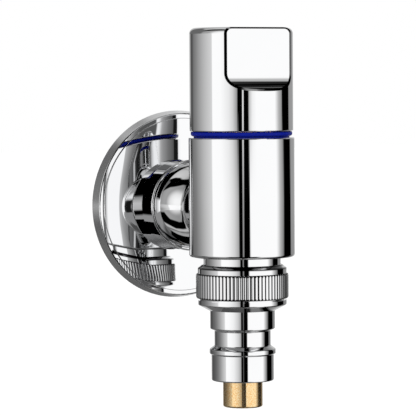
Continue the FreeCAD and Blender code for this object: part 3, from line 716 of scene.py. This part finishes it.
# Edges of the black frame around them, in degrees above the horizon: inner and outer, over and under the panel
OVER_INNER = [(-99, 26), (-83, 38.5), (-64, 46), (-44, 54), (-20, 60)]
OVER_OUTER = [(-150, 40), (-115, 45), (-107, 57), (-90, 66), (-72, 67), (-50, 72), (-20, 78)]
UNDER_INNER = [(-100, -11), (-84, -12.5), (-71, -29), (-53, -36.5), (-45, -40), (-20, -45)]
UNDER_OUTER = [(-115, -25), (-100, -30), (-86, -41), (-74, -53), (-52, -60), (-20, -66)]
# Where the frame ends behind the valve, and the heights between which the cloth hangs free there
FRAME_END = [(-101.5, 1), (-99.5, 0)]
FREE_LOW, FREE_HIGH = -48.5, 44.5
# Degrees over which the frame's edges and the lamp's edge blur
FRAME_BLUR = 3.0
LAMP_BLUR = 4.0
# Wide pale cloth behind the valve, by degrees around to either side and by height
BACK_CLOTH = [(152, 0), (165, 0.50), (180, 0.60)]
BACK_HEIGHT = [(-27, 0), (-22, 1), (75, 1), (90, 0.80)]
# Lamp above the frame: its middle, around and above, and its brightness by degrees from there
TOP_LAMP_MIDDLE = (-110.0, 62.0)
TOP_LAMP = [(0, 0.65), (18, 0.55), (30, 0.25), (45, 0.10), (180, 0.10)]
# Light strip under the frame, by degrees below its outer edge
UNDER_STRIP = [(-2, 0), (2, 0.50), (6, 0.50), (12, 0.12), (18, 0.35), (90, 0.45)]
# Share of the right wall's brightness by height
RIGHT_HEIGHT = [
    (-90, 0.50), (-62, 0.40), (-50, 0.20), (-40, 0.20), (-28, 0.50), (-18, 1), (27, 1), (32, 0.80), (38, 0.50),
    (45, 0.50), (49, 0.30), (53, 0.02), (59, 0.02), (62, 0.20), (68, 0.25), (80, 0.50), (90, 0.70),
]
# Dark ground around the camera, across and by height
CAMERA_GROUND = [(-38, 0), (-28, 1), (32, 1), (44, 0)]
CAMERA_GROUND_HEIGHT = [(-62, 0), (-50, 1), (60, 1), (75, 0)]
# Walls in a second mirror image, which is seen from nearer the wall, on the left and on the right, and in a third
SECOND_LEFT = [
    (-135, 0.10), (-118, 0.20), (-108, 0.33), (-95, 0.50), (-92.6, 0.55), (-91, 1.10), (-30, 1.10), (-12, 0.50),
    (-4, 0), (0, 0),
]
SECOND_RIGHT = [
    (0, 0), (17, 0), (19, 1.06), (80, 1.06), (88, 0.90), (91, 0.05), (94, 0.01), (112, 0.01), (115, 0.10),
    (136, 0.19), (153, 0.33), (160, 0.45), (166, 0.85), (171, 1), (175, 0.90), (178, 0.20), (180, 0.10),
]
THIRD_RING = [
    (-180, 0.04), (-75, 0.30), (-55, 0.10), (-49, 0.01), (-22, 0.01), (-8, 0.17), (0, 0.12), (9, 0.04), (13, 0.01),
    (43, 0.01), (51, 0.80), (56, 1.06), (75, 1.06), (90, 0.05), (180, 0.02),
]
# Share of those walls by height
LATER_BAND = [(-10, 0), (-8, 1), (9, 1), (14, 0)]
# Ground in later mirror images: its brightness by height, how high it reaches, and how far to the left and right
LATER_GROUND = [(-60, 0.08), (-38, 0.08), (-28, 0.30), (0, 0.30)]
LATER_GROUND_HIGH = -8.0
LATER_GROUND_LEFT, LATER_GROUND_RIGHT = -100.0, 8.0
# Ray depths past which a mirror image counts as the second and as the third
SECOND_DEPTH, THIRD_DEPTH = 2.5, 3.5
# Soft light on what isn't a mirror: its level, what it gains towards the camera and upwards, and the least of it
SOFT_LEVEL = 0.43
SOFT_AHEAD = 0.73
SOFT_ABOVE = 0.35
SOFT_LEAST = 0.03
# Share of the tent's light that chrome throws on to matt surfaces
THROWN_ON = 0.1
# Half the side of the floor, and the light it adds for the camera to turn it white
FLOOR_REACH = 6.0
FLOOR_GLOW = 0.52
WHITE = (1.0, 1.0, 1.0, 1.0)


def within(distance, blur):
    """1 inside an edge and 0 outside, from the distance inwards and the width over which it blurs."""
    return (distance / blur + 0.5).clamped()


class Tent:
    """Brightness of the light tent as expressions on the direction of a ray."""

    def __init__(self, finish, azimuth):
        self.finish = finish
        self.front = (-math.sin(azimuth), -math.cos(azimuth))
        self.right = (math.cos(azimuth), -math.sin(azimuth))
        self.ray = finish.parts_of(finish.point("Generated"))
        x, y, z = self.ray
        aside = x * self.right[0] + y * self.right[1]
        self.ahead = x * self.front[0] + y * self.front[1]
        self.around = aside.math("ARCTAN2", self.ahead) * math.degrees(1.0)
        self.above = z.math("ARCSINE") * math.degrees(1.0)

    def gradient(self, degrees, stops):
        """Ramp over an angle: the stops' angles and levels are both carried from 0 to 1 and back."""
        places, levels = zip(*stops)
        low, reach = min(places), max(places) - min(places)
        least, span = min(levels), max(levels) - min(levels)
        spread = [((place - low) / reach, (level - least) / span) for place, level in stops]
        return self.finish.ramp((degrees - low) / reach, spread) * span + least

    def from_middle(self, middle):
        """Degrees between the ray and a point of the tent."""
        around, above = (math.radians(angle_value) for angle_value in middle)
        level = math.cos(above)
        x, y, z = self.ray
        along = x * (level * (math.cos(around) * self.front[0] + math.sin(around) * self.right[0]))
        along = along + y * (level * (math.cos(around) * self.front[1] + math.sin(around) * self.right[1]))
        along = along + z * math.sin(above)
        return along.math("ARCCOSINE") * math.degrees(1.0)

    def walls(self):
        """The walls, blended between the heights at which they are given."""
        rings = [(height, self.gradient(self.around, left) + self.gradient(self.around, right))
                 for height, left, right in WALLS]
        blended = rings[0][1]
        for (lower, _), (height, ring) in zip(rings, rings[1:]):
            blended = blended + ((self.above - lower) / (height - lower)).clamped() * (ring - blended)
        return blended

    def left_side(self):
        """Panel and cloth, the black frame around them, the lamp over it and the light strip under it."""
        around, above = self.around, self.above
        panel = self.gradient(self.from_middle(LEFT_PANEL_MIDDLE), LEFT_PANEL)
        cloth = self.gradient(around, GREY_CLOTH)
        framed = within(self.gradient(around, OVER_INNER) - above, FRAME_BLUR)
        framed = framed * within(above - self.gradient(around, UNDER_INNER), FRAME_BLUR)
        free = self.gradient(around, FRAME_END)
        free_part = free * within(FREE_HIGH - above, FRAME_BLUR) * within(above - FREE_LOW, FRAME_BLUR)
        lamp = within(above - self.gradient(around, OVER_OUTER), LAMP_BLUR)
        lamp = lamp * self.gradient(self.from_middle(TOP_LAMP_MIDDLE), TOP_LAMP)
        strip = self.gradient(self.gradient(around, UNDER_OUTER) - above, UNDER_STRIP) * (1.0 - free)
        return panel.at_least(cloth) * framed.at_least(free_part) + lamp + strip

    def beyond(self, walls):
        """Everything above and below the level band."""
        around, above = self.around, self.above
        is_left = around < 0.0
        both = is_left * self.left_side() + (1.0 - is_left) * walls * self.gradient(above, RIGHT_HEIGHT)
        back = self.gradient(around.math("ABSOLUTE"), BACK_CLOTH) * self.gradient(above, BACK_HEIGHT)
        ground = self.gradient(around, CAMERA_GROUND) * self.gradient(above, CAMERA_GROUND_HEIGHT)
        return both.at_least(back) * (1.0 - ground)

    def first_image(self, walls, beyond):
        """What chrome mirrors straight from the tent: walls and lit gap in the level band, and the rest beyond."""
        band = self.gradient(self.above, LEVEL_BAND)
        gap = self.gradient(self.around, GAP_ACROSS) * self.gradient(self.above, GAP_HEIGHT)
        return band * (walls + gap) + (1.0 - band) * beyond

    def later_image(self, ring, beyond):
        """What chrome mirrors by way of other chrome: walls of its own, and dark ground below them to the left."""
        around, above = self.around, self.above
        band = self.gradient(above, LATER_BAND)
        gap = self.gradient(around, LATER_GAP_ACROSS) * self.gradient(above, LATER_GAP_HEIGHT)
        below = (above < LATER_GROUND_HIGH) * (around < LATER_GROUND_RIGHT) * (around > LATER_GROUND_LEFT)
        ground = self.gradient(above, LATER_GROUND)
        return band * (ring + gap) + (1.0 - band) * (beyond + below * (ground - beyond))

    def mirrored(self, bounces):
        """Brightness for a ray that comes from a mirror, by how many bounces it has behind it."""
        walls = self.walls()
        beyond = self.beyond(walls)
        first = self.first_image(walls, beyond)
        second_ring = self.gradient(self.around, SECOND_LEFT) + self.gradient(self.around, SECOND_RIGHT)
        second = self.later_image(second_ring, beyond)
        third = self.later_image(self.gradient(self.around, THIRD_RING), beyond)
        return first + (bounces > SECOND_DEPTH) * (second - first) + (bounces > THIRD_DEPTH) * (third - second)

    def soft(self, light):
        """Brightness for a ray that comes from a matt surface."""
        level = light * (SOFT_LEVEL + SOFT_AHEAD * self.ahead + SOFT_ABOVE * self.ray[2])
        return level.at_least(SOFT_LEAST * light)


def light_tent(studio):
    """World light: even for matt surfaces, panels and black flags for mirrors, white for the camera."""
    world = bpy.data.worlds.new("light_tent")
    bpy.context.scene.world = world
    finish = Finish(world)
    tent = Tent(finish, studio.azimuth)
    camera = finish.path("Is Camera Ray")
    mirror = (finish.path("Is Glossy Ray") + finish.path("Is Transmission Ray")).clamped()
    thrown_on = mirror * (finish.path("Diffuse Depth") > 0.5)
    brightness = mirror * tent.mirrored(finish.path("Ray Depth")) + (1.0 - mirror) * tent.soft(studio.light)
    brightness = brightness * (1.0 - (1.0 - THROWN_ON) * thrown_on)
    brightness = camera + (1.0 - camera) * brightness
    background = finish.node("Background", None, {"Color": WHITE, "Strength": brightness})
    finish.node("OutputWorld", None, {"Surface": background})


def floor_material(studio):
    """Pale floor that turns white for the camera except where the valve shades it."""
    material = bpy.data.materials.new("pale_floor")
    finish = Finish(material)
    speck = finish.noise(finish.point(), scale=90.0, detail=3.0)
    base = tuple(studio.floor_colour)
    shade = shaded(base, 0.985)
    diffuse = finish.node("BsdfDiffuse", None, {"Color": finish.mixed(speck, shade, base)})
    seen = finish.path("Is Camera Ray") + finish.path("Is Glossy Ray") + finish.path("Is Transmission Ray")
    glow = finish.node("Emission", None, {"Color": WHITE, "Strength": FLOOR_GLOW * seen.clamped()})
    finish.node("OutputMaterial", None, {"Surface": finish.node("AddShader", None, {0: diffuse, 1: glow})})
    return material


def floor_plane(studio):
    """Square sheet of two by two faces below the valve: x and y run over a grid, z is one level."""
    level = cad_bounds[0].z - studio.floor_drop
    grid = np.linspace(-FLOOR_REACH, FLOOR_REACH, 3)
    xs, ys = (side.ravel() for side in np.meshgrid(grid, grid))
    points = np.stack([xs, ys, np.full_like(xs, level)], 1)
    faces = np.array([0, 1, 3, 4])[:, None] + np.array([0, 1, 4, 3])
    mesh = bpy.data.meshes.new("floor")
    mesh.from_pydata(points.tolist(), [], faces.tolist())
    floor = bpy.data.objects.new("floor", mesh)
    mesh.materials.append(floor_material(studio))
    bpy.context.scene.collection.objects.link(floor)
    floor.visible_glossy = False


def camera_at(studio):
    """Camera in front of the valve and to the left of the wall's normal, with its heading, slope and roll."""
    barrel = Vector((0.0, -BARREL_DEPTH, 0.0))
    back = Vector((-math.sin(studio.azimuth), -math.cos(studio.azimuth), 0.0))
    place = barrel + back * studio.distance + Vector((0.0, 0.0, studio.height))
    heading = Vector((
        math.sin(studio.yaw) * math.cos(studio.tilt),
        math.cos(studio.yaw) * math.cos(studio.tilt),
        -math.sin(studio.tilt),
    ))
    level_right = Vector((math.cos(studio.yaw), -math.sin(studio.yaw), 0.0))
    level_up = level_right.cross(heading)
    right = level_right * math.cos(studio.roll) - level_up * math.sin(studio.roll)
    up = level_right * math.sin(studio.roll) + level_up * math.cos(studio.roll)
    data = bpy.data.cameras.new("camera")
    data.lens = studio.lens
    data.sensor_width = 36.0
    data.clip_start = 0.05
    data.clip_end = 50.0
    camera = bpy.data.objects.new("camera", data)
    turn = Matrix((right, up, -heading)).transposed()
    camera.matrix_world = Matrix.Translation(place) @ turn.to_4x4()
    bpy.context.scene.collection.objects.link(camera)
    bpy.context.scene.camera = camera


# Operators


class ValveOperator(Operator):
    """Shared ground of the valve's operators."""

    bl_options = {"REGISTER", "UNDO"}

    @classmethod
    def poll(cls, context):
        return bool(parts)


class VALVE_OT_chrome(ValveOperator):
    """Plates the body, rosette, handle, union nut and hose nipple"""

    bl_idname = "valve.chrome"
    bl_label = "Plate the outside"

    def execute(self, context):
        dress("chrome_plate", ["body_casting", "handle", "hose_nipple"])
        dress("spun_chrome", ["wall_rosette"])
        dress("ribbed_chrome", ["union_nut"])
        return {"FINISHED"}


class VALVE_OT_thread(ValveOperator):
    """Cuts the pipe thread on the body's inlet stub"""

    bl_idname = "valve.thread"
    bl_label = "Cut the inlet thread"

    def execute(self, context):
        plate = made_material("chrome_plate")
        body = threaded_body(context.scene.valve_thread)
        body.data.materials.append(plate)
        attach(body, "valve_body")
        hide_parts("body_casting")
        return {"FINISHED"}


class VALVE_OT_brass(ValveOperator):
    """Finishes the plunger and the turned brass inside"""

    bl_idname = "valve.brass"
    bl_label = "Finish the brass"

    def execute(self, context):
        dress("turned_brass", ["stop_plunger", "headwork_body", "spindle", "spline_adapter"])
        return {"FINISHED"}


class VALVE_OT_plastic(ValveOperator):
    """Colours the indicator ring and the check valve"""

    bl_idname = "valve.plastic"
    bl_label = "Colour the plastic"

    def execute(self, context):
        dress("blue_plastic", ["indicator_ring"])
        dress("white_acetal", ["check_housing", "check_poppet"])
        return {"FINISHED"}


class VALVE_OT_seals(ValveOperator):
    """Colours the rubber seals and the ceramic discs"""

    bl_idname = "valve.seals"
    bl_label = "Finish seals and discs"

    def execute(self, context):
        dress("seal_rubber", [
            "wall_seal", "headwork_o_ring", "seat_seal", "spindle_o_ring_1", "spindle_o_ring_2",
            "nipple_gasket", "plunger_seal", "check_o_ring", "poppet_seal",
        ])
        dress("alumina", ["fixed_disc", "moving_disc"])
        return {"FINISHED"}


class VALVE_OT_steel(ValveOperator):
    """Finishes the clips, the spring's retainer and the handle's screw"""

    bl_idname = "valve.steel"
    bl_label = "Finish the steel"

    def execute(self, context):
        dress("stainless_steel", ["handle_screw", "spindle_circlip", "retainer_clip", "spring_retainer"])
        return {"FINISHED"}


class VALVE_OT_springs(ValveOperator):
    """Makes copies of the two springs on the bodies they ride on"""

    bl_idname = "valve.springs"
    bl_label = "Make the springs"

    def execute(self, context):
        steel = made_material("stainless_steel")
        for spring in SPRINGS:
            pressed_spring(*spring, steel)
        return {"FINISHED"}


class VALVE_OT_stage(ValveOperator):
    """Sets up the floor, the light tent and the camera"""

    bl_idname = "valve.stage"
    bl_label = "Set up the studio"

    def execute(self, context):
        studio = context.scene.valve_studio
        context.scene.view_settings.view_transform = "Standard"
        floor_plane(studio)
        light_tent(studio)
        camera_at(studio)
        return {"FINISHED"}


# In the order in which they run: the thread and the springs need a material of an earlier one
OPERATORS = [
    VALVE_OT_chrome, VALVE_OT_thread, VALVE_OT_brass, VALVE_OT_plastic, VALVE_OT_seals, VALVE_OT_steel,
    VALVE_OT_springs, VALVE_OT_stage,
]
GROUPS = {"valve_thread": ValveThread, "valve_finish": ValveFinish, "valve_studio": ValveStudio}


class VALVE_PT_sidebar(Panel):
    """Lists the valve's sizes, colours and steps."""

    bl_idname = "VALVE_PT_sidebar"
    bl_label = "Washing machine valve"
    bl_space_type = "VIEW_3D"
    bl_region_type = "UI"
    bl_category = "Valve"

    def draw(self, context):
        for name, group in GROUPS.items():
            box = self.layout.box()
            box.label(text=group.__doc__)
            for key in group.__annotations__:
                box.prop(getattr(context.scene, name), key)
        for operator in OPERATORS:
            self.layout.operator(operator.bl_idname)


def register():
    for name, group in GROUPS.items():
        bpy.utils.register_class(group)
        setattr(bpy.types.Scene, name, PointerProperty(type=group))
    for kind in OPERATORS + [VALVE_PT_sidebar]:
        bpy.utils.register_class(kind)


def unregister():
    for kind in reversed(OPERATORS + [VALVE_PT_sidebar]):
        bpy.utils.unregister_class(kind)
    for name, group in GROUPS.items():
        delattr(bpy.types.Scene, name)
        bpy.utils.unregister_class(group)


def main():
    register()
    for operator in OPERATORS:
        getattr(bpy.ops.valve, operator.bl_idname.split(".")[1])()


if __name__ == "__main__":
    main()
